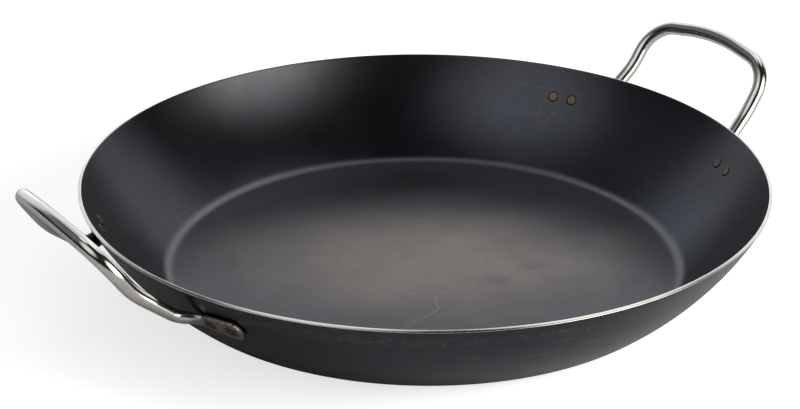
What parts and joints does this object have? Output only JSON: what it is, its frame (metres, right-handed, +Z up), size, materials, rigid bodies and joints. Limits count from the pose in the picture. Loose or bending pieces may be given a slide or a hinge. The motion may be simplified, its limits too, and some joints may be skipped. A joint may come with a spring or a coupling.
{
  "type": "two-handled steel paella pan",
  "caption": "Wide shallow round pan of blued carbon-steel sheet with a flat floor, a flared wall and two bright loop handles spot-welded outside.",
  "frame": {"origin": "centre of the flat underside", "axes": "+X from the centre towards the right handle, along the line of the handles; +Z up, out of the bowl"},
  "size_m": [0.483, 0.3998, 0.0943],
  "materials": {
    "blued_steel": "blue-black heat-blued carbon steel, satin, with faint rolling grain and light scuffs; the cut rim is bare bright metal",
    "bright_rod": "polished stainless rod, mirror-like on the loop and duller where it is pressed flat",
    "heat_tinted_weld": "brown heat tint of a resistance spot weld"
  },
  "bodies": {
    "root": {"pan_body": "blued_steel", "handle_right": "bright_rod", "handle_left": "bright_rod", "weld_right_a1": "heat_tinted_weld", "weld_right_a2": "heat_tinted_weld", "weld_right_b1": "heat_tinted_weld", "weld_right_b2": "heat_tinted_weld", "weld_left_a1": "heat_tinted_weld", "weld_left_a2": "heat_tinted_weld", "weld_left_b1": "heat_tinted_weld", "weld_left_b2": "heat_tinted_weld"}
  },
  "joints": []
}
